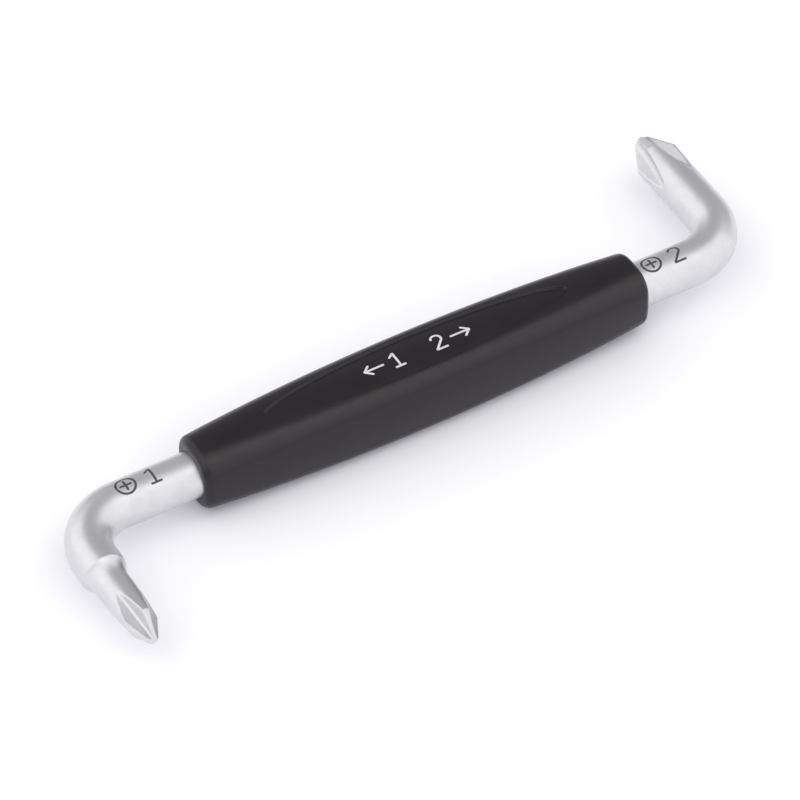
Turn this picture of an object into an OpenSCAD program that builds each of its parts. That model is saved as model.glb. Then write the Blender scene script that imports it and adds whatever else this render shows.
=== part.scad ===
// Offset screwdriver: one round steel bar, bent square at both ends in opposite directions,
// with a small cross tip on one leg, a large one on the other, and a plastic grip moulded
// round its middle.
// Millimetres. X runs along the bar, +Y is the way the large tip points and +Z is up. The
// origin is on the surface that the tool lies on, under the centre of its overall box.

/* [Bar] */
// Diameter of the round bar
bar_d = 6; // [5.2:0.1:6.1]
// Radius of both bends, to the bar's centre line
bend_r = 6.6; // [4.5:0.1:8]
// From the grip's end to the axis of the leg with the small tip
small_arm = 17; // [11:0.1:30]
// From the grip's end to the axis of the leg with the large tip
large_arm = 15; // [11:0.1:30]
// From the bar's axis to the end of the small tip
small_leg = 21.6; // [20:0.1:40]
// From the bar's axis to the end of the large tip
large_leg = 22.4; // [18.5:0.1:40]

/* [Small tip] */
// Diameter of the turned neck
neck_d = 4.5; // [3.6:0.1:5]
// Length of the tip and its neck, from the end to the shoulder
neck_l = 10.2; // [8.2:0.1:10.6]
// Length of the hollow shoulder between the neck and the full bar
shoulder_l = 2.4; // [1.4:0.1:2.8]
// Diameter of the blunt nose
small_nose_d = 1.27; // [1:0.01:1.6]
// Diameter of the core left between the flutes, at the nose
small_core_d = 0.66; // [0.4:0.02:0.9]
// Length of the flutes, from the end to where they run out
small_flute_l = 7.4; // [5:0.1:8.1]
// Turn of the flutes about the leg
small_turn = 26; // [0:1:89]

/* [Large tip] */
// Diameter of the blunt nose
large_nose_d = 2.29; // [2:0.01:2.6]
// Diameter of the core left between the flutes, at the nose
large_core_d = 1.2; // [0.8:0.02:1.6]
// Length of the flutes, from the end to where they run out
large_flute_l = 9.8; // [7:0.1:10.8]
// Turn of the flutes about the leg
large_turn = 65; // [0:1:89]

/* [Both tips] */
// Slope of the wings' edges against the leg's axis
wing_slope = 26.5; // [24:0.5:30]
// Slope of the nose against its flat
nose_slope = 20; // [5:1:30]
// Angle between the two flanks of a flute
flute_angle = 92; // [88:1:100]

/* [Key wings] */
// Length of each pair of wings pressed out of the bar inside the grip
key_l = 8; // [4:0.5:12]
// Width of the bar across a pair of wings
key_w = 7.6; // [6.8:0.1:8]
// Thickness of the wings
key_t = 1.6; // [0.8:0.1:2.4]
// Length of the sloped run at each end of a wing
key_ramp = 1.5; // [0.5:0.1:1.9]
// Distance between the two pairs of wings
key_pitch = 24; // [14:1:34]

/* [Grip] */
// Length of the grip
grip_l = 64; // [56:0.1:90]
// Width of the grip at its middle
grip_w = 10.3; // [9.4:0.1:12]
// Height of the grip at its middle
grip_h = 10.9; // [10:0.1:12.5]
// Width of the grip at its ends
grip_end_w = 8; // [7.9:0.1:9.4]
// Height of the grip at its ends
grip_end_h = 9.2; // [8.2:0.1:10]
// Radius of the grip's long edges
edge_r = 3.3; // [1.5:0.1:3.8]
// Radius of the rim round each end face
rim_r = 0.9; // [0.3:0.05:0.95]

/* [Label fields] */
// Length of the sunk field on the grip's top and underside
field_l = 43.7; // [26:0.1:52]
// Width of the field
field_w = 6.5; // [3:0.1:7.4]
// Depth of the field
field_depth = 0.35; // [0.1:0.05:0.5]

/* [Hidden] */
$fn = 64;

bar_r = bar_d / 2;
neck_r = neck_d / 2;
// How far a cutting shape runs past the surface that it cuts
overrun = 1;

// Leg axes, from the grip's middle
small_x = -(grip_l / 2 + small_arm);
large_x = grip_l / 2 + large_arm;
// Middle of the overall box, in the same frame
mid_x = (small_x + large_x) / 2;
mid_y = (large_leg - small_leg) / 2;

// Facets of an arc in an outline, of a long edge's rounding, of a rim, along the grip and round
// a label field
arc_steps = 10;
edge_steps = 8;
rim_steps = 4;
crown_steps = 32;
field_steps = 72;

// Height of a nose cone, and the length of the wings' sloped edges up to a radius
function nose_h(nose_d) = nose_d / 2 * tan(nose_slope);
function wing_h(nose_d, r) = (r - nose_d / 2) / tan(wing_slope);

// Outline of the blunt nose and the sloped wings: [radius, distance from the end]
function tip_points(nose_d, r) = [
    [0, 0],
    [nose_d / 2, nose_h(nose_d)],
    [r, nose_h(nose_d) + wing_h(nose_d, r)]
];

// Shoulder of the small tip: a hollow arc out of the neck, up to an edge at the full bar
shoulder_rise = bar_r - neck_r;
shoulder_arc_r = (pow(shoulder_l, 2) + pow(shoulder_rise, 2)) / (2 * shoulder_rise);
shoulder_arc = asin(shoulder_l / shoulder_arc_r);
function shoulder_points() =
    [for (i = [0:arc_steps]) let (a = shoulder_arc * i / arc_steps)
        [neck_r + shoulder_arc_r * (1 - cos(a)), neck_l + shoulder_arc_r * sin(a)]];

// Four flutes, ground with a disc whose rim is a V and which runs out of the bar of radius r
module flutes(core_d, flute_l, r) {
    depth = r - core_d / 2;
    disc_r = (pow(flute_l, 2) + pow(depth, 2)) / (2 * depth);
    cut = depth + overrun;
    half_w = cut * tan(flute_angle / 2);
    for (i = [0:3])
        rotate([0, 0, 90 * i])
            translate([core_d / 2 + disc_r, 0, 0])
                rotate([90, 0, 0])
                    rotate_extrude()
                        polygon([[disc_r, 0], [disc_r - cut, half_w], [disc_r - cut, -half_w]]);
}

// Leg with the small tip, along +Z from its end to the bend
module small_tip_leg() {
    difference() {
        rotate_extrude()
            polygon(concat(
                tip_points(small_nose_d, neck_r),
                shoulder_points(),
                [[bar_r, small_leg - bend_r], [0, small_leg - bend_r]]));
        rotate([0, 0, -small_turn])
            flutes(small_core_d, small_flute_l, neck_r);
    }
}

// Leg with the large tip, along +Z from its end to the bend
module large_tip_leg() {
    difference() {
        rotate_extrude()
            polygon(concat(
                tip_points(large_nose_d, bar_r),
                [[bar_r, large_leg - bend_r], [0, large_leg - bend_r]]));
        rotate([0, 0, large_turn])
            flutes(large_core_d, large_flute_l, bar_r);
    }
}

// A quarter bend round the Z axis, from +X to +Y
module quarter_bend() {
    rotate_extrude(angle = 90)
        translate([bend_r, 0])
            circle(d = bar_d);
}

// One pair of flat wings, pressed out to both sides of the bar
module key_pair() {
    linear_extrude(key_t, center = true)
        polygon([
            [-key_l / 2, 0], [key_ramp - key_l / 2, key_w / 2], [key_l / 2 - key_ramp, key_w / 2],
            [key_l / 2, 0], [key_l / 2 - key_ramp, -key_w / 2], [key_ramp - key_l / 2, -key_w / 2]]);
}

// Straight middle of the bar between the bends, which the grip is moulded round
module straight_bar() {
    translate([small_x + bend_r, 0, 0])
        rotate([0, 90, 0])
            cylinder(d = bar_d, h = large_x - small_x - 2 * bend_r);
    for (side = [-1, 1])
        translate([side * key_pitch / 2, 0, 0])
            key_pair();
}

// Half a side of the grip at x, and how far the crown has fallen there
function fall(mid, end, x) = (mid - end) / 2 * pow(2 * x / grip_l, 2);
function half(mid, end, x) = mid / 2 - fall(mid, end, x);

// Stations along the grip: [x, inset], with the inset growing round each end's rim
crown_l = grip_l - 2 * rim_r;
rim = [for (i = [rim_steps:-1:1]) let (a = 90 * i / rim_steps)
    [crown_l / 2 + rim_r * sin(a), rim_r * (1 - cos(a))]];
stations = concat(
    [for (s = rim) [-s[0], s[1]]],
    [for (i = [0:crown_steps]) [crown_l * (i / crown_steps - 1 / 2), 0]],
    [for (i = [rim_steps - 1:-1:0]) rim[i]]);

// Rounded section at a station, anticlockwise seen from +X, sunk below the grip's surface
function section(s, sunk) =
    let (r = edge_r - s[1] - sunk,
         y = half(grip_w, grip_end_w, s[0]) - edge_r,
         z = half(grip_h, grip_end_h, s[0]) - edge_r)
    [for (corner = [0:3], i = [0:edge_steps])
        let (a = 90 * (corner + i / edge_steps),
             side_y = (corner == 0 || corner == 3) ? 1 : -1,
             side_z = (corner < 2) ? 1 : -1)
        [s[0], side_y * y + r * cos(a), side_z * z + r * sin(a)]];

// Crowned body lofted through the sections
module grip_body(sunk) {
    n = 4 * (edge_steps + 1);
    last = len(stations) - 1;
    sides = [for (i = [0:last - 1], j = [0:n - 1])
        let (k = (j + 1) % n)
        each [[i * n + j, (i + 1) * n + j, (i + 1) * n + k], [i * n + j, (i + 1) * n + k, i * n + k]]];
    ends = [[for (j = [0:n - 1]) j], [for (j = [n - 1:-1:0]) last * n + j]];
    polyhedron([for (s = stations) each section(s, sunk)], concat(sides, ends));
}

// Space above a label field's floor: an ellipse seen from above, at an even depth all over
module field_space() {
    difference() {
        linear_extrude(grip_h / 2 + overrun)
            polygon([for (i = [0:field_steps - 1]) let (a = 360 * i / field_steps)
                [field_l / 2 * cos(a), field_w / 2 * sin(a)]]);
        grip_body(field_depth);
    }
}

// Half a field's width at x, and how far the grip's surface has fallen at its edge there
function field_half_w(x) = field_w / 2 * sqrt(max(0, 1 - pow(2 * x / field_l, 2)));
function edge_fall(x) =
    let (past_flat = max(0, field_half_w(x) - half(grip_w, grip_end_w, x) + edge_r))
    fall(grip_h, grip_end_h, x) + edge_r - sqrt(pow(edge_r, 2) - pow(past_flat, 2));
// The tool lies on what reaches lowest, the field's floor or the surface round it
rest_h = grip_h / 2 - min(field_depth, min([for (s = stations) edge_fall(s[0])]));

// Puts a shape made about the grip's middle where the tool lies on its surface
module placed() {
    translate([-mid_x, -mid_y, rest_h])
        children();
}

module bent_bar() {
    color("silver")
        placed() {
            straight_bar();
            translate([small_x + bend_r, -bend_r, 0])
                rotate([0, 0, 90])
                    quarter_bend();
            translate([large_x - bend_r, bend_r, 0])
                rotate([0, 0, 270])
                    quarter_bend();
            translate([small_x, -small_leg, 0])
                rotate([-90, 0, 0])
                    small_tip_leg();
            translate([large_x, large_leg, 0])
                rotate([90, 0, 0])
                    large_tip_leg();
        }
}

module grip() {
    color([0.17, 0.165, 0.17])
        placed()
            difference() {
                grip_body(0);
                straight_bar();
                field_space();
                rotate([180, 0, 0])
                    field_space();
            }
}

bent_bar();
grip();
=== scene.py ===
"""Looks of an offset screwdriver: a satin steel bar bent at both ends, with a moulded black grip.

Everything is in metres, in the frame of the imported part: X along the bar, +Y the way the large
tip points, +Z up, and the floor at zero.
"""
import math

import bpy
import numpy as np
from mathutils import Matrix, Vector


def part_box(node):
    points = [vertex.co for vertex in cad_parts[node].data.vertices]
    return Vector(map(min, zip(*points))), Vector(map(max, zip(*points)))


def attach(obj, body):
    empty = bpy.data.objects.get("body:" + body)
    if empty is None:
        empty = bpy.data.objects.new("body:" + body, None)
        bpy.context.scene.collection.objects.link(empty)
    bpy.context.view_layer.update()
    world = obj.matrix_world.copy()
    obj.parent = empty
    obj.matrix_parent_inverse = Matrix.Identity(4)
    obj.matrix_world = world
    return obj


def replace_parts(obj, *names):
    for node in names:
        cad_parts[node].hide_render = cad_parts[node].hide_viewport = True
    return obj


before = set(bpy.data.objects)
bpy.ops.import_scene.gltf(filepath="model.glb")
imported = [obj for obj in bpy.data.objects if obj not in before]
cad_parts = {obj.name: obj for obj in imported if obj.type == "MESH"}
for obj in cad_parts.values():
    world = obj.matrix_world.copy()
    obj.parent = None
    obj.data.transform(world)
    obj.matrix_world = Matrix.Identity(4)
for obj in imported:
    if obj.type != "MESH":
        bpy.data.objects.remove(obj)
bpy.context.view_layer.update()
MM = 0.001

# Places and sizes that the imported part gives
bar_low, bar_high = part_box("bent_bar")
grip_low, grip_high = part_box("grip")
BAR_R = (bar_high.z - bar_low.z) / 2
AXIS_Y = (grip_low.y + grip_high.y) / 2
AXIS_Z = (bar_high.z + bar_low.z) / 2
SMALL_X = bar_low.x + BAR_R
LARGE_X = bar_high.x - BAR_R
SMALL_END_Y = bar_low.y
LARGE_END_Y = bar_high.y
GRIP_MID_X = (grip_low.x + grip_high.x) / 2
GRIP_HALF_L = (grip_high.x - grip_low.x) / 2
GRIP_HALF_W = (grip_high.y - grip_low.y) / 2

# Bar
BEND_R = 6.6 * MM
NECK_R = 2.25 * MM
NECK_L = 10.2 * MM
SHOULDER_L = 2.4 * MM
SHOULDER_EDGE = 0.1 * MM

# Cross tips: radius of the blunt nose, of the core left between the flutes and of the shaft; length of
# the flutes, their turn about the leg and the radius of their round bottom
WING_SLOPE = math.radians(26.5)
NOSE_SLOPE = math.radians(20)
FLUTE_HALF_ANGLE = math.radians(46)
TIP_ROUND = 0.07 * MM
EDGE_ROUND = 0.2 * MM
SMALL_TIP = {"nose_r": 0.635 * MM, "core_r": 0.33 * MM, "flute_l": 7.8 * MM,
             "turn": math.radians(26), "hollow_r": 0.4 * MM, "shaft_r": NECK_R}
LARGE_TIP = {"nose_r": 1.145 * MM, "core_r": 0.6 * MM, "flute_l": 10.7 * MM,
             "turn": math.radians(65), "hollow_r": 0.8 * MM, "shaft_r": BAR_R}

# Grip
GRIP_HALF_H = 5.45 * MM
GRIP_END_HALF_W = 4.0 * MM
GRIP_END_HALF_H = 4.6 * MM
TOP_R = 12 * MM
SIDE_R = 20 * MM
CORNER_R = 2.3 * MM
CORNER_END_R = 3.1 * MM
RIM_R = 0.9 * MM
BORE_GAP = 0.005 * MM
BORE_LIP = 0.06 * MM
FIELD_HALF_L = 21.85 * MM
FIELD_HALF_W = 3.25 * MM
FIELD_DEPTH = 0.35 * MM
FIELD_WALL = 0.34 * MM

# View: the camera looks at a point of the bar's axis
IMAGE_PX = 800
FOCAL_PX = 5340
CAMERA_AZIMUTH = math.radians(-30.45)
CAMERA_ELEVATION = math.radians(46.2)
CAMERA_DISTANCE = 665 * MM
CAMERA_RIGHT = -0.297 * MM
CAMERA_UP = -1.855 * MM
AIM_X = -1.1 * MM

# Faces that meet at more than this angle get a sharp edge
SHARP_ANGLE = math.radians(35)


def smooth_min(a, b, width):
    """The smaller of a and b, rounded over where they are closer than width."""
    h = np.clip(0.5 + 0.5 * (b - a) / width, 0, 1)
    return b + (a - b) * h - width * h * (1 - h)


def smooth_step(t):
    """0 below 0, 1 above 1, and a smooth rise between."""
    t = np.clip(t, 0, 1)
    return t * t * (3 - 2 * t)


def bunched(n):
    """n + 1 shares from 0 to 1, closer together at both ends."""
    return (1 - np.cos(math.pi * np.linspace(0, 1, n + 1))) / 2


def arc(centre, radius, start, end, steps):
    """steps + 1 points of an arc."""
    turns = np.linspace(start, end, steps + 1)
    return np.stack([centre[0] + radius * np.cos(turns), centre[1] + radius * np.sin(turns)], 1)


def grid_mesh(name, rings, poles=(), closed=False):
    """Smooth object of quads through rings of points, with a pole at each end or joined end to end."""
    rings = np.asarray(rings)
    count, n = rings.shape[:2]
    points = [tuple(p) for p in rings.reshape(-1, 3)] + [tuple(p) for p in poles]
    faces = []
    for i in range(count if closed else count - 1):
        a, b = i * n, (i + 1) % count * n
        faces += [(a + j, b + j, b + (j + 1) % n, a + (j + 1) % n) for j in range(n)]
    if poles:
        first, last = count * n, count * n + 1
        end = (count - 1) * n
        faces += [(first, j, (j + 1) % n) for j in range(n)]
        faces += [(last, end + (j + 1) % n, end + j) for j in range(n)]
    mesh = bpy.data.meshes.new(name)
    mesh.from_pydata(points, [], faces)
    mesh.shade_smooth()
    mesh.set_sharp_from_angle(angle=SHARP_ANGLE)
    obj = bpy.data.objects.new(name, mesh)
    bpy.context.scene.collection.objects.link(obj)
    return obj


# Shape of the bar

# Columns of the bar's grid over half a flute and half the wing beside it
BOTTOM_COLUMNS = 8
FLANK_COLUMNS = 7
EDGE_COLUMNS = 8
WING_COLUMNS = 6
FLUTE_COLUMNS = BOTTOM_COLUMNS + FLANK_COLUMNS + EDGE_COLUMNS
QUARTER = math.radians(45)
PLAIN_EDGE = QUARTER * FLUTE_COLUMNS / (FLUTE_COLUMNS + WING_COLUMNS)
# Least angles, in radians, that a flute's edge and a flank's ray keep
LEAST_EDGE = 0.03
LEAST_TURN = 0.01
FLUTE_TRIALS = 500

# Rings of the bar's grid along its nose, slopes, flutes, shafts, shoulder, bends and straight middle
NOSE_STEPS = 11
SLOPE_STEPS = 22
FLUTE_STEPS = 28
SHAFT_STEPS = 13
SHOULDER_STEPS = 23
BEND_STEPS = 40
STRAIGHT_STEPS = 60
# Where the first ring is, in shares of the nose's height
POLE_SHARE = 0.04
# How far the rings of the shoulder's hollow go, in shares of its length, and those of its edge before
# and after it, in shares of its rounding
HOLLOW_SHARE = 0.85
EDGE_BEFORE = 2.5
EDGE_AFTER = 3
# How far along the shoulder's arc is followed, in shares of its radius
ARC_LIMIT = 0.9


def tip_radius(tip, s):
    """Radius of a tip's outline at the distance s from its end: nose, sloped wings, shaft."""
    nose_h = tip["nose_r"] * math.tan(NOSE_SLOPE)
    nose = s / math.tan(NOSE_SLOPE)
    wings = tip["nose_r"] + (s - nose_h) * math.tan(WING_SLOPE)
    return smooth_min(smooth_min(nose, wings, TIP_ROUND), tip["shaft_r"], TIP_ROUND)


def flute_foot(tip, s):
    """How far a flute's V is from the leg's axis at s, and the angle of its flanks there.

    A flute is ground by a disc with a V for a rim, which reaches the core at the tip's end.
    """
    depth = tip["shaft_r"] - tip["core_r"]
    disc_r = (tip["flute_l"] ** 2 + depth ** 2) / (2 * depth)
    reach = math.sqrt(disc_r ** 2 - s ** 2)
    return tip["core_r"] + disc_r - reach, math.atan(math.tan(FLUTE_HALF_ANGLE) * reach / disc_r)


def flute_curve(turns, foot, slope, hollow_r):
    """Distance of a flute's surface from the leg's axis: a V with a round bottom of hollow_r."""
    centre = foot + hollow_r / math.sin(slope)
    tangent = math.atan2(hollow_r * math.cos(slope), centre - hollow_r * math.sin(slope))
    inside = np.maximum(0, hollow_r ** 2 - (centre * np.sin(turns)) ** 2)
    hollow = centre * np.cos(turns) - np.sqrt(inside)
    flank = foot * math.sin(slope) / np.sin(np.maximum(slope - turns, LEAST_TURN))
    return np.where(turns < tangent, hollow, flank)


def plain_half(outline, edge):
    """Half a quarter of a round section, with the flute's columns inside the angle edge."""
    return np.concatenate([arc((0, 0), outline, 0, edge, FLUTE_COLUMNS)[:-1],
                           arc((0, 0), outline, edge, QUARTER, WING_COLUMNS)])


def fluted_half(outline, foot, slope, hollow_r):
    """Half a quarter of a fluted section: round bottom, flank, rounded edge and wing."""
    trial = np.linspace(0, QUARTER, FLUTE_TRIALS)
    reach = np.minimum(flute_curve(trial, foot, slope, hollow_r), 2 * outline)
    edge = max(float(np.interp(outline, reach, trial)), LEAST_EDGE)
    rounded = min(EDGE_ROUND, outline / 5)
    spread = min(rounded / outline, edge / 3)
    turns = np.concatenate([
        np.linspace(0, edge / 2, BOTTOM_COLUMNS + 1)[:-1],
        np.linspace(edge / 2, edge - spread, FLANK_COLUMNS + 1)[:-1],
        np.linspace(edge - spread, edge + spread, EDGE_COLUMNS + 1)[:-1],
        np.linspace(edge + spread, QUARTER, WING_COLUMNS + 1)])
    radius = smooth_min(flute_curve(turns, foot, slope, hollow_r), outline, rounded)
    return np.stack([radius * np.cos(turns), radius * np.sin(turns)], 1)


def bar_ring(centre, right, half, turn):
    """Ring of points round the bar's centre line; right is the level direction square to it."""
    sector = np.concatenate([half[:0:-1] * (1, -1), half[:-1]])
    turns = [turn + 2 * QUARTER * k for k in range(4)]
    u = np.concatenate([sector @ (math.cos(a), -math.sin(a)) for a in turns])
    v = np.concatenate([sector @ (math.sin(a), math.cos(a)) for a in turns])
    return np.stack([centre[0] + u * right[0], centre[1] + u * right[1], AXIS_Z + v], 1)


def shoulder_radius(s):
    """Radius of the small tip's leg above its neck: a hollow arc, up to an edge at the full bar."""
    rise = BAR_R - NECK_R
    arc_r = (SHOULDER_L ** 2 + rise ** 2) / (2 * rise)
    along = min(s - NECK_L, ARC_LIMIT * arc_r)
    hollow = NECK_R + arc_r - math.sqrt(arc_r ** 2 - along ** 2)
    return float(smooth_min(hollow, BAR_R, SHOULDER_EDGE))


def leg_radius(tip, s):
    """Radius of a leg's outline at the distance s from its tip's end."""
    if tip is SMALL_TIP and s > NECK_L:
        return shoulder_radius(s)
    return float(tip_radius(tip, s))


def leg_stations(tip, length):
    """Distances from a tip's end: close together at its nose, its slopes and the flutes' ends."""
    nose_h = tip["nose_r"] * math.tan(NOSE_SLOPE)
    slope_end = nose_h + (tip["shaft_r"] - tip["nose_r"]) / math.tan(WING_SLOPE)
    flute_l = tip["flute_l"]
    parts = [nose_h * np.linspace(POLE_SHARE, 1, NOSE_STEPS + 1)[:-1],
             nose_h + (slope_end - nose_h) * bunched(SLOPE_STEPS)[:-1],
             slope_end + (flute_l - slope_end) * bunched(FLUTE_STEPS)[:-1],
             np.linspace(flute_l, length, SHAFT_STEPS + 1)]
    if tip is SMALL_TIP:
        hollow = np.linspace(0, HOLLOW_SHARE, SHOULDER_STEPS + 1)
        edge = np.linspace(-EDGE_BEFORE, EDGE_AFTER, SHOULDER_STEPS + 1)
        parts += [NECK_L + SHOULDER_L * hollow, NECK_L + SHOULDER_L + SHOULDER_EDGE * edge]
    return np.unique(np.concatenate(parts).round(9))


def leg_half(tip, s):
    """Half a quarter of a leg's section at the distance s from its tip's end."""
    outline = leg_radius(tip, s)
    if s < tip["flute_l"]:
        foot, slope = flute_foot(tip, s)
        return fluted_half(outline, foot, slope, tip["hollow_r"])
    spread = smooth_step((s - tip["flute_l"]) / (2 * tip["shaft_r"]))
    return plain_half(outline, max(PLAIN_EDGE * spread, LEAST_EDGE))


def leg_rings(tip, x, end_y, way, length):
    """Rings of a leg from its tip's end; way is 1 or -1, as the leg runs along +Y or -Y from there."""
    return [bar_ring((x, end_y + way * s), (1, 0), leg_half(tip, s), tip["turn"])
            for s in leg_stations(tip, length)]


def make_bar():
    """The whole bar as one grid of quads, from the small tip's end to the large tip's."""
    plain = plain_half(BAR_R, PLAIN_EDGE)
    bend = np.linspace(0, math.pi / 2, BEND_STEPS + 1)
    rings = leg_rings(SMALL_TIP, SMALL_X, SMALL_END_Y, 1, AXIS_Y - BEND_R - SMALL_END_Y)
    for beta in bend[1:]:
        right = (math.cos(beta), -math.sin(beta))
        centre = (SMALL_X + BEND_R * (1 - right[0]), AXIS_Y - BEND_R * (1 + right[1]))
        rings.append(bar_ring(centre, right, plain, SMALL_TIP["turn"]))
    for t in np.linspace(0, 1, STRAIGHT_STEPS + 1)[1:-1]:
        x = SMALL_X + BEND_R + t * (LARGE_X - SMALL_X - 2 * BEND_R)
        turn = SMALL_TIP["turn"] + t * (LARGE_TIP["turn"] - SMALL_TIP["turn"])
        rings.append(bar_ring((x, AXIS_Y), (0, -1), plain, turn))
    for beta in bend[:-1]:
        right = (math.sin(beta), -math.cos(beta))
        centre = (LARGE_X - BEND_R * (1 - right[0]), AXIS_Y + BEND_R * (1 + right[1]))
        rings.append(bar_ring(centre, right, plain, LARGE_TIP["turn"]))
    rings += leg_rings(LARGE_TIP, LARGE_X, LARGE_END_Y, -1, LARGE_END_Y - AXIS_Y - BEND_R)[::-1]
    poles = [(SMALL_X, SMALL_END_Y, AXIS_Z), (LARGE_X, LARGE_END_Y, AXIS_Z)]
    return grid_mesh("steel_bar", rings, poles)


# Shape of the grip

# Columns of the grip's grid over a field's half, its wall, and the rest of a quarter section
FIELD_COLUMNS = 12
WALL_COLUMNS = 16
SIDE_COLUMNS = 30
FIELD_TRIALS = 400
# Half the width that the wall's columns take, and where they lie at a field's point and past it
WALL_ZONE = 0.42 * MM
LEAST_FIELD = 0.15 * MM
PLAIN_FIELD = 1.6 * MM
# Rings of the grip's grid along its crown and round each end's rim
CROWN_STEPS = 110
RIM_STEPS = 12
# More rings round a field's point: the nearest to it, how far they reach into the field and past it, and
# how many there are
POINT_NEAREST = 0.04 * MM
POINT_IN = 2.2 * MM
POINT_OUT = 1.0 * MM
POINT_IN_STEPS = 16
POINT_OUT_STEPS = 8
# Least slope of a field's ellipse, at its middle
LEAST_SLOPE = 1e-6
# How far onto the top and underside the painted highlight along the long corners reaches
PAINTED_HIGHLIGHT_REACH = 0.7 * MM
# Point attribute that holds each point's share of the painted highlight along the long corners
PAINTED_HIGHLIGHT = "painted_highlight"


def crown(mid, end, x):
    """Half a side of the grip at x from its middle."""
    return mid - (mid - end) * (x / GRIP_HALF_L) ** 2


def section_arcs(x):
    """The grip's section at x as three tangent arcs: top, corner and side.

    Gives their centres (y, z), radii and turns, which are angles from straight up to the side.
    """
    half_w = crown(GRIP_HALF_W, GRIP_END_HALF_W, x)
    half_h = crown(GRIP_HALF_H, GRIP_END_HALF_H, x)
    corner_r = crown(CORNER_R, CORNER_END_R, x)
    top = np.array([0, half_h - TOP_R])
    side = np.array([half_w - SIDE_R, 0])
    gap = np.linalg.norm(side - top)
    along = (side - top) / gap
    share = ((TOP_R - corner_r) ** 2 - (SIDE_R - corner_r) ** 2 + gap ** 2) / (2 * gap)
    out = math.sqrt((TOP_R - corner_r) ** 2 - share ** 2)
    corner = top + share * along + out * np.array([along[1], -along[0]])
    turns = [0, math.atan2(*(corner - top)), math.atan2(*(corner - side)), math.pi / 2]
    return np.array([top, corner, side]), np.array([TOP_R, corner_r, SIDE_R]), np.array(turns)


def quarter_length(x):
    """Length of a quarter of the section at x."""
    _, radii, turns = section_arcs(x)
    return float(np.sum(radii * np.diff(turns)))


def grip_point(x, s, sunk):
    """Points of the grip's upper half: s runs over the section from the top's middle line.

    Gives y and z about the bar's axis, moved in by sunk along the surface's normal.
    """
    centres, radii, turns = section_arcs(x)
    starts = np.concatenate([[0], np.cumsum(radii * np.diff(turns))])
    run = np.abs(s)
    k = np.clip(np.searchsorted(starts, run, side="right") - 1, 0, 2)
    turn = turns[k] + (run - starts[k]) / radii[k]
    y = centres[k, 0] + (radii[k] - sunk) * np.sin(turn)
    z = centres[k, 1] + (radii[k] - sunk) * np.cos(turn)
    return np.sign(s) * y, z


def field_edge(x):
    """Where a field's edge lies on the section at x; past the field its columns spread again."""
    half_w = FIELD_HALF_W * math.sqrt(max(0.0, 1 - (x / FIELD_HALF_L) ** 2))
    run = np.linspace(0, quarter_length(x), FIELD_TRIALS)
    edge = np.interp(half_w, grip_point(x, run, 0.0)[0], run)
    beyond = (abs(x) - FIELD_HALF_L) / (GRIP_HALF_L - FIELD_HALF_L)
    return max(edge, LEAST_FIELD + (PLAIN_FIELD - LEAST_FIELD) * smooth_step(beyond))


def field_sink(x, y):
    """How deep a field is sunk at a place: none outside its ellipse, all past its wall."""
    level = (x / FIELD_HALF_L) ** 2 + (y / FIELD_HALF_W) ** 2 - 1
    slope = 2 * np.hypot(x / FIELD_HALF_L ** 2, y / FIELD_HALF_W ** 2)
    inside = -level / np.maximum(slope, LEAST_SLOPE)
    return FIELD_DEPTH * smooth_step(inside / FIELD_WALL)


def grip_columns(x):
    """Places over a quarter of the section at x, close together at the field's wall."""
    edge = field_edge(x)
    zone = min(WALL_ZONE, edge / 2)
    return np.concatenate([
        np.linspace(0, edge - zone, FIELD_COLUMNS + 1)[:-1],
        np.linspace(edge - zone, edge + zone, WALL_COLUMNS + 1)[:-1],
        np.linspace(edge + zone, quarter_length(x), SIDE_COLUMNS + 1)])


def all_round(quarter, signs=(1, 1, 1, 1)):
    """Values for a whole section from those of its upper +Y quarter, with a sign for each quarter."""
    return np.concatenate([signs[0] * quarter, signs[1] * quarter[-2::-1],
                           signs[2] * quarter[1:], signs[3] * quarter[-2:0:-1]])


def grip_section(x, inset):
    """One ring of the grip's outside, from the top's middle line round by +Y."""
    s = grip_columns(x)
    y, _ = grip_point(x, s, 0.0)
    y, z = grip_point(x, s, inset + field_sink(x, y))
    ys = all_round(y, (1, 1, -1, -1))
    zs = all_round(z, (1, -1, -1, 1))
    return np.stack([np.full(ys.shape, GRIP_MID_X + x), AXIS_Y + ys, AXIS_Z + zs], 1)


def painted_highlight_share(x):
    """Share of painted highlight at each point of a ring: most at the long corners, not in the sunk
    fields.
    """
    _, radii, turns = section_arcs(x)
    start, run = (radii * np.diff(turns))[:2]
    s = grip_columns(x)
    share = np.clip((s - start + PAINTED_HIGHLIGHT_REACH) / (run + PAINTED_HIGHLIGHT_REACH), 0, 1)
    y, _ = grip_point(x, s, 0.0)
    open_share = 1 - field_sink(x, y) / FIELD_DEPTH
    return all_round(open_share * np.sin(math.pi * share) ** 2)


def grip_stations():
    """Stations along the grip, [x, inset]: even on the crown, close at the fields' points."""
    straight = GRIP_HALF_L - RIM_R
    inward = np.geomspace(POINT_NEAREST, POINT_IN, POINT_IN_STEPS)
    near = np.concatenate([-inward[::-1], [0], np.geomspace(POINT_NEAREST, POINT_OUT, POINT_OUT_STEPS)])
    x = np.concatenate([np.linspace(-straight, straight, CROWN_STEPS + 1),
                        FIELD_HALF_L + near, -FIELD_HALF_L - near])
    crown_part = [(v, 0.0) for v in np.unique(x.round(8))]
    rim = [(straight + RIM_R * math.sin(a), RIM_R * (1 - math.cos(a)))
           for a in np.linspace(0, math.pi / 2, RIM_STEPS + 1)[1:]]
    return [(-v, inset) for v, inset in rim[::-1]] + crown_part + rim


def bore_ring(outer, x, radius):
    """Round ring of the bore, with a point for each point of an end ring."""
    angle = np.arctan2(outer[:, 2] - AXIS_Z, outer[:, 1] - AXIS_Y)
    return np.stack([np.full(angle.shape, x), AXIS_Y + radius * np.cos(angle),
                     AXIS_Z + radius * np.sin(angle)], 1)


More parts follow.
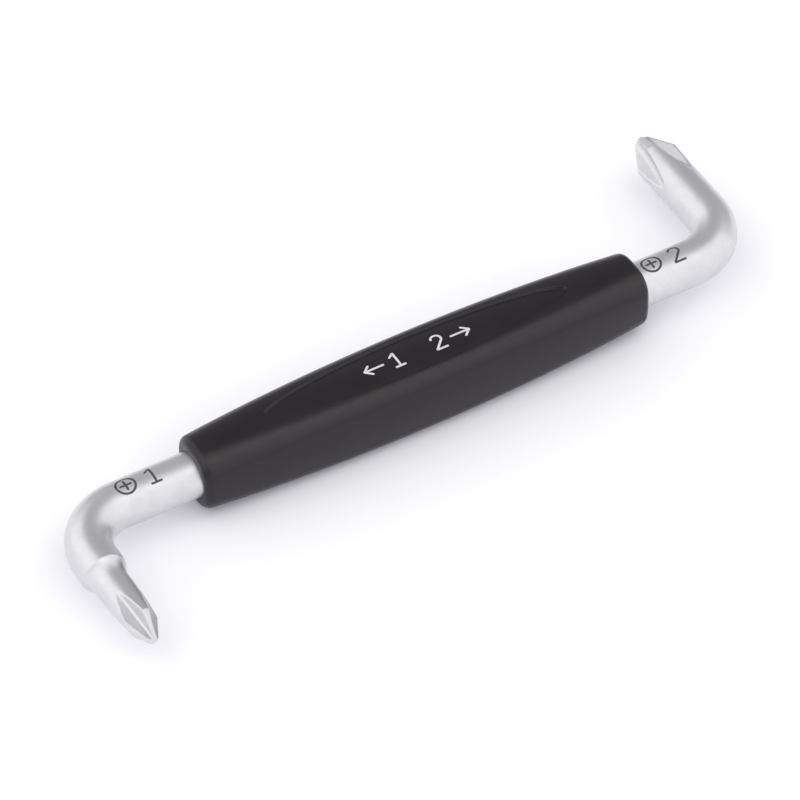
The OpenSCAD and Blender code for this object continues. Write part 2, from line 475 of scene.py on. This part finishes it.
def make_grip():
    """The grip as one closed grid: outside from end to end, and back through the bore."""
    stations = grip_stations()
    rings = [grip_section(x, inset) for x, inset in stations]
    bore_r = BAR_R + BORE_GAP
    for side, outer in ((1, rings[-1]), (-1, rings[0])):
        end_x = GRIP_MID_X + side * GRIP_HALF_L
        lip = [bore_ring(outer, end_x - side * depth, bore_r + gap)
               for depth, gap in ((0.0, BORE_LIP), (BORE_LIP / 3, BORE_LIP / 3), (BORE_LIP, 0.0))]
        rings += lip if side > 0 else lip[::-1]
    obj = grid_mesh("moulded_grip", rings, closed=True)
    # Each outside point's share of the painted highlight along the long corners; the bore gets none
    painted_highlight = np.zeros(len(obj.data.vertices), np.float32)
    outside = np.concatenate([painted_highlight_share(x) for x, _ in stations])
    painted_highlight[:len(outside)] = outside
    obj.data.attributes.new(PAINTED_HIGHLIGHT, "FLOAT", "POINT").data.foreach_set("value", painted_highlight)
    return obj


# Shape of the signs

# Spacing of a stroke's points; how far a sign stands out, each next stroke more, and reaches in
STROKE_SPACING = 0.08 * MM
MARK_LIFT = 0.006 * MM
MARK_STEP = 0.001 * MM
MARK_SINK = 0.02 * MM
# Points of a stroke's round end, and its roundness, just under 1 to leave the end some width
CAP_POINTS = 6
CAP_START = 0.1
CAP_ROUND = 0.999

# Single strokes in shares of a sign's height, about its middle
ONE = [[(-0.26, 0.27), (0.02, 0.5), (0.02, -0.5)], [(-0.24, -0.5), (0.28, -0.5)]]
TWO = [[*arc((0, 0.22), 0.28, math.radians(165), math.radians(-35), 24), (-0.3, -0.5), (0.32, -0.5)]]
RINGED_PLUS = [arc((0, 0), 0.5, 0, 2 * math.pi, 48), [(-0.28, 0), (0.28, 0)], [(0, -0.28), (0, 0.28)]]
ARROW = [[(-0.55, 0), (0.55, 0)], [(0.2, 0.32), (0.55, 0), (0.2, -0.32)]]


def even_points(line, spacing):
    """Points at an even spacing along a broken line."""
    line = np.asarray(line, float)
    run = np.concatenate([[0], np.cumsum(np.linalg.norm(np.diff(line, axis=0), axis=1))])
    at = np.linspace(0, run[-1], max(2, int(run[-1] / spacing)))
    at = np.unique(np.concatenate([at, run]).round(9))
    return np.stack([np.interp(at, run, line[:, k]) for k in range(2)], 1)


def stroke_outline(line, width):
    """Left and right edges of a stroke: round at its ends, or joined where the line is closed."""
    middle = even_points(line, STROKE_SPACING)
    share = np.ones(len(middle))
    joined = np.allclose(middle[0], middle[-1])
    if joined:
        heading = np.gradient(np.concatenate([middle[-2:-1], middle, middle[1:2]]), axis=0)[1:-1]
    else:
        heading = np.gradient(middle, axis=0)
    heading /= np.linalg.norm(heading, axis=1)[:, None]
    if not joined:
        cap = np.linspace(CAP_START, 1, CAP_POINTS)[:, None]
        start = middle[0] - heading[0] * width / 2 * cap[::-1]
        stop = middle[-1] + heading[-1] * width / 2 * cap
        taper = np.sqrt(1 - CAP_ROUND * cap[:, 0] ** 2)
        middle = np.concatenate([start, middle, stop])
        share = np.concatenate([taper[::-1], share, taper])
        heading = np.concatenate([[heading[0]] * len(cap), heading, [heading[-1]] * len(cap)])
    across = np.stack([-heading[:, 1], heading[:, 0]], 1) * share[:, None] * width / 2
    return middle + across, middle - across


def make_mark(name, outlines, surface, material):
    """Thin closed strips on a surface. surface(u, v, lift) gives the point over (u, v)."""
    points, faces = [], []
    for k, (left, right) in enumerate(outlines):
        joined = np.allclose(left[0], left[-1])
        n, first = len(left) - joined, len(points)
        lift = MARK_LIFT + k * MARK_STEP
        for edge, height in ((left, lift), (right, lift), (left, -MARK_SINK), (right, -MARK_SINK)):
            points += [surface(u, v, height) for u, v in edge[:n]]
        a, b, c, d = (first + side * n for side in range(4))
        for i in range(n if joined else n - 1):
            j = (i + 1) % n
            faces += [(a + i, b + i, b + j, a + j), (c + i, c + j, d + j, d + i),
                      (a + i, a + j, c + j, c + i), (b + i, d + i, d + j, b + j)]
        if not joined:
            faces += [(a, c, d, b), (a + n - 1, b + n - 1, d + n - 1, c + n - 1)]
    mesh = bpy.data.meshes.new(name)
    mesh.from_pydata(points, [], faces)
    mesh.materials.append(material)
    obj = bpy.data.objects.new(name, mesh)
    bpy.context.scene.collection.objects.link(obj)
    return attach(obj, "root")


def sign(strokes, at, height, width, flip=1):
    """Outlines of one sign at a place along its surface; a flip of -1 mirrors it."""
    return [stroke_outline([(at + flip * x * height, y * height) for x, y in line], width)
            for line in strokes]


def on_arm(middle_x):
    """Top of the bar's arms: u along the bar, v round it."""
    def place(u, v, lift):
        turn = v / BAR_R
        r = BAR_R + lift
        return middle_x + u, AXIS_Y + r * math.sin(turn), AXIS_Z + r * math.cos(turn)
    return place


def on_field(u, v, lift):
    """Floor of the grip's upper field: u along the grip, v across it."""
    y, z = grip_point(u, np.array([v]), FIELD_DEPTH - lift)
    return GRIP_MID_X + u, AXIS_Y + y[0], AXIS_Z + z[0]


# Materials

# Range that noise mostly keeps to
NOISE_LOW = 0.3
NOISE_HIGH = 0.7


def new_material(name):
    """A new material, its node tree and its principled shader."""
    material = bpy.data.materials.new(name)
    material.use_nodes = True
    tree = material.node_tree
    return material, tree, tree.nodes["Principled BSDF"]


def noise(tree, scale, detail, roughness=0.55):
    """Noise in the object's own space; scale is in cells per metre."""
    where = tree.nodes.new("ShaderNodeTexCoord")
    texture = tree.nodes.new("ShaderNodeTexNoise")
    texture.inputs["Scale"].default_value = scale
    texture.inputs["Detail"].default_value = detail
    texture.inputs["Roughness"].default_value = roughness
    tree.links.new(where.outputs["Object"], texture.inputs["Vector"])
    return texture.outputs["Fac"]


def ranged(tree, value, low, high):
    """Noise, spread from its usual range to low and high."""
    node = tree.nodes.new("ShaderNodeMapRange")
    node.inputs["From Min"].default_value = NOISE_LOW
    node.inputs["From Max"].default_value = NOISE_HIGH
    node.inputs["To Min"].default_value = low
    node.inputs["To Max"].default_value = high
    tree.links.new(value, node.inputs["Value"])
    return node.outputs["Result"]


def between(tree, value, dark, light):
    """A colour from dark to light with value."""
    node = tree.nodes.new("ShaderNodeMix")
    node.data_type = "RGBA"
    node.inputs["A"].default_value = (*dark, 1)
    node.inputs["B"].default_value = (*light, 1)
    tree.links.new(value, node.inputs["Factor"])
    return node.outputs["Result"]


def over(tree, value, under, colour):
    """A colour from that of the socket under to another one with value."""
    node = tree.nodes.new("ShaderNodeMix")
    node.data_type = "RGBA"
    node.inputs["B"].default_value = (*colour, 1)
    tree.links.new(value, node.inputs["Factor"])
    tree.links.new(under, node.inputs["A"])
    return node.outputs["Result"]


def math_node(tree, operation, first, second):
    """The sum or product of two values."""
    node = tree.nodes.new("ShaderNodeMath")
    node.operation = operation
    tree.links.new(first, node.inputs[0])
    tree.links.new(second, node.inputs[1])
    return node.outputs["Value"]


def attribute(tree, name):
    """A value that the mesh holds at its points."""
    node = tree.nodes.new("ShaderNodeAttribute")
    node.attribute_name = name
    return node.outputs["Fac"]


def bump(tree, height, distance, strength):
    """Bump from a height of 0 to 1, distance metres deep."""
    node = tree.nodes.new("ShaderNodeBump")
    node.inputs["Distance"].default_value = distance
    node.inputs["Strength"].default_value = strength
    tree.links.new(height, node.inputs["Height"])
    return node.outputs["Normal"]


def satin_steel():
    """Matt chrome: a fine blasted grain, cloudy in its colour and its sheen."""
    material, tree, shader = new_material("satin_steel")
    shader.inputs["Metallic"].default_value = 1.0
    cloud = noise(tree, 480, detail=5, roughness=0.68)
    grain = noise(tree, 5200, detail=2, roughness=0.6)
    tint = between(tree, ranged(tree, cloud, 0, 1), (0.648, 0.648, 0.672), (0.712, 0.712, 0.737))
    tree.links.new(tint, shader.inputs["Base Color"])
    tree.links.new(ranged(tree, cloud, 0.42, 0.34), shader.inputs["Roughness"])
    tree.links.new(bump(tree, grain, 0.006 * MM, 0.6), shader.inputs["Normal"])
    return material


def black_plastic():
    """Moulded black plastic with a fine spark-eroded texture, and a painted highlight that makes it
    paler along the long corners.
    """
    material, tree, shader = new_material("black_plastic")
    shader.inputs["IOR"].default_value = 1.44
    drift = noise(tree, 190, detail=4)
    grain = noise(tree, 4300, detail=2.5, roughness=0.6)
    plain = between(tree, ranged(tree, drift, 0, 1), (0.0064, 0.0034, 0.0078), (0.0084, 0.005, 0.0102))
    # Paler colour along the long corners is a painted highlight, standing in for the lamps' reflection
    # there, made patchy by noise
    patchy = ranged(tree, noise(tree, 420, detail=5), 0.6, 1)
    painted_highlight_level = math_node(tree, "MULTIPLY", attribute(tree, PAINTED_HIGHLIGHT), patchy)
    tree.links.new(over(tree, painted_highlight_level, plain, (0.028, 0.0215, 0.0255)), shader.inputs["Base Color"])
    tree.links.new(ranged(tree, drift, 0.28, 0.34), shader.inputs["Roughness"])
    tree.links.new(bump(tree, grain, 0.012 * MM, 0.5), shader.inputs["Normal"])
    return material


def etched_mark():
    """Dark oxide of a laser-etched sign, a little uneven."""
    material, tree, shader = new_material("etched_mark")
    shader.inputs["Metallic"].default_value = 0.4
    patch = noise(tree, 2600, detail=2)
    tint = between(tree, ranged(tree, patch, 0, 1), (0.05, 0.05, 0.052), (0.11, 0.11, 0.112))
    tree.links.new(tint, shader.inputs["Base Color"])
    tree.links.new(ranged(tree, patch, 0.5, 0.65), shader.inputs["Roughness"])
    return material


def white_print():
    """White pad print on the grip, a little thin in places."""
    material, tree, shader = new_material("white_print")
    patch = noise(tree, 3000, detail=2)
    tint = between(tree, ranged(tree, patch, 0, 1), (0.62, 0.62, 0.62), (0.78, 0.78, 0.78))
    tree.links.new(tint, shader.inputs["Base Color"])
    tree.links.new(ranged(tree, patch, 0.45, 0.6), shader.inputs["Roughness"])
    return material


# Stage

# Half the floor's side, its own colour, and what is added to it where it is seen
FLOOR_HALF = 4.0
FLOOR_COLOUR = (0.72, 0.72, 0.72)
SEEN_COLOUR = (0.31, 0.31, 0.31)
SEEN_GLOW = (0.012, 0.007, 0.044)


def seen_rays(tree):
    """1 for the rays that see the whitened floor: from the camera, in metal and through glass."""
    path = tree.nodes.new("ShaderNodeLightPath")
    total = path.outputs["Is Camera Ray"]
    for name in ("Is Glossy Ray", "Is Transmission Ray"):
        total = math_node(tree, "ADD", total, path.outputs[name])
    return total


def add_shaders(tree, first, second):
    """The sum of two shaders."""
    node = tree.nodes.new("ShaderNodeAddShader")
    tree.links.new(first, node.inputs[0])
    tree.links.new(second, node.inputs[1])
    return node.outputs["Shader"]


def matt(tree, colour):
    """A matt shader."""
    node = tree.nodes.new("ShaderNodeBsdfDiffuse")
    node.inputs["Color"].default_value = (*colour, 1)
    return node.outputs["BSDF"]


def make_floor():
    """White floor: its own colour, and more where it is seen, so that it is white round the shadow."""
    mesh = bpy.data.meshes.new("floor")
    h = FLOOR_HALF
    mesh.from_pydata([(-h, -h, 0), (h, -h, 0), (h, h, 0), (-h, h, 0)], [], [(0, 1, 2, 3)])
    material = bpy.data.materials.new("white_floor")
    material.use_nodes = True
    tree = material.node_tree
    tree.nodes.remove(tree.nodes["Principled BSDF"])
    glow = tree.nodes.new("ShaderNodeEmission")
    glow.inputs["Color"].default_value = (*SEEN_GLOW, 1)
    seen = tree.nodes.new("ShaderNodeMixShader")
    tree.links.new(seen_rays(tree), seen.inputs["Fac"])
    tree.links.new(add_shaders(tree, matt(tree, SEEN_COLOUR), glow.outputs["Emission"]), seen.inputs[2])
    whole = add_shaders(tree, matt(tree, FLOOR_COLOUR), seen.outputs["Shader"])
    tree.links.new(whole, tree.nodes["Material Output"].inputs["Surface"])
    mesh.materials.append(material)
    obj = bpy.data.objects.new("floor", mesh)
    bpy.context.scene.collection.objects.link(obj)


# Softboxes: shape, azimuth from +Y toward +X and elevation in degrees, width, height, brightness
LAMP_DISTANCE = 2.0
LAMPS = {"front_lamp": ("RECTANGLE", 138, 36, 4.5, 3.0, 0.68),
         "left_lamp": ("RECTANGLE", -60, 33, 5.3, 2.4, 0.76),
         "top_lamp": ("ELLIPSE", -130, 76, 2.4, 2.4, 0.6)}
AMBIENT = 0.5


def direction(azimuth, elevation):
    """Unit vector at an azimuth from +Y toward +X and an elevation, both in degrees."""
    azimuth, elevation = math.radians(azimuth), math.radians(elevation)
    level = math.cos(elevation)
    return Vector((level * math.sin(azimuth), level * math.cos(azimuth), math.sin(elevation)))


def make_lamps():
    """Large softboxes that face the object."""
    for name, (shape, azimuth, elevation, width, height, brightness) in LAMPS.items():
        data = bpy.data.lights.new(name, "AREA")
        data.shape = shape
        data.size = width
        data.size_y = height
        area = width * height * (math.pi / 4 if shape == "ELLIPSE" else 1)
        data.energy = brightness * math.pi * area
        lamp = bpy.data.objects.new(name, data)
        toward = direction(azimuth, elevation)
        lamp.location = toward * LAMP_DISTANCE
        lamp.rotation_euler = toward.to_track_quat("Z", "Y").to_euler()
        bpy.context.scene.collection.objects.link(lamp)


def make_world():
    """Pale, even surroundings."""
    world = bpy.data.worlds.new("studio")
    bpy.context.scene.world = world
    world.use_nodes = True
    light = world.node_tree.nodes["Background"]
    light.inputs["Color"].default_value = (1, 1, 1, 1)
    light.inputs["Strength"].default_value = AMBIENT


def make_camera():
    """Camera at the photograph's angle."""
    a, e = CAMERA_AZIMUTH, CAMERA_ELEVATION
    right = Vector((math.cos(a), math.sin(a), 0))
    up = Vector((-math.sin(a) * math.sin(e), math.cos(a) * math.sin(e), math.cos(e)))
    back = Vector((math.sin(a) * math.cos(e), -math.cos(a) * math.cos(e), math.sin(e)))
    data = bpy.data.cameras.new("camera")
    data.lens = data.sensor_width * FOCAL_PX / IMAGE_PX
    data.clip_start = CAMERA_DISTANCE / 10
    camera = bpy.data.objects.new("camera", data)
    bpy.context.scene.collection.objects.link(camera)
    aim = Vector((AIM_X, AXIS_Y, AXIS_Z))
    camera.location = aim + back * CAMERA_DISTANCE + right * CAMERA_RIGHT + up * CAMERA_UP
    camera.rotation_euler = Matrix((right, up, back)).transposed().to_euler()
    bpy.context.scene.camera = camera


# Making

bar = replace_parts(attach(make_bar(), "root"), "bent_bar")
bar.data.materials.append(satin_steel())
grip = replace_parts(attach(make_grip(), "root"), "grip")
grip.data.materials.append(black_plastic())

# Size marks: etched on the arms, a ringed plus and a number; printed on the grip, a number and an arrow
ETCH_HEIGHT = 2.5 * MM
ETCH_STROKE = 0.3 * MM
ETCH_PLUS_AT = -1.75 * MM
ETCH_NUMBER_AT = 1.9 * MM
SMALL_MARK_X = SMALL_X + BEND_R + 3.0 * MM
LARGE_MARK_X = LARGE_X - BEND_R - 4.25 * MM
dark = etched_mark()
for name, middle_x, number in (("size_mark_1", SMALL_MARK_X, ONE), ("size_mark_2", LARGE_MARK_X, TWO)):
    signs = sign(RINGED_PLUS, ETCH_PLUS_AT, ETCH_HEIGHT, ETCH_STROKE)
    signs += sign(number, ETCH_NUMBER_AT, ETCH_HEIGHT, ETCH_STROKE)
    make_mark(name, signs, on_arm(middle_x), dark)

PRINT_HEIGHT = 2.4 * MM
PRINT_STROKE = 0.3 * MM
PRINT_NUMBER_AT = 3.0 * MM
PRINT_ARROW_AT = 6.2 * MM
white = white_print()
for name, side, number in (("size_print_1", -1, ONE), ("size_print_2", 1, TWO)):
    signs = sign(number, side * PRINT_NUMBER_AT, PRINT_HEIGHT, PRINT_STROKE)
    signs += sign(ARROW, side * PRINT_ARROW_AT, PRINT_HEIGHT, PRINT_STROKE, side)
    make_mark(name, signs, on_field, white)

make_floor()
make_world()
make_lamps()
make_camera()
bpy.context.scene.view_settings.view_transform = "Standard"
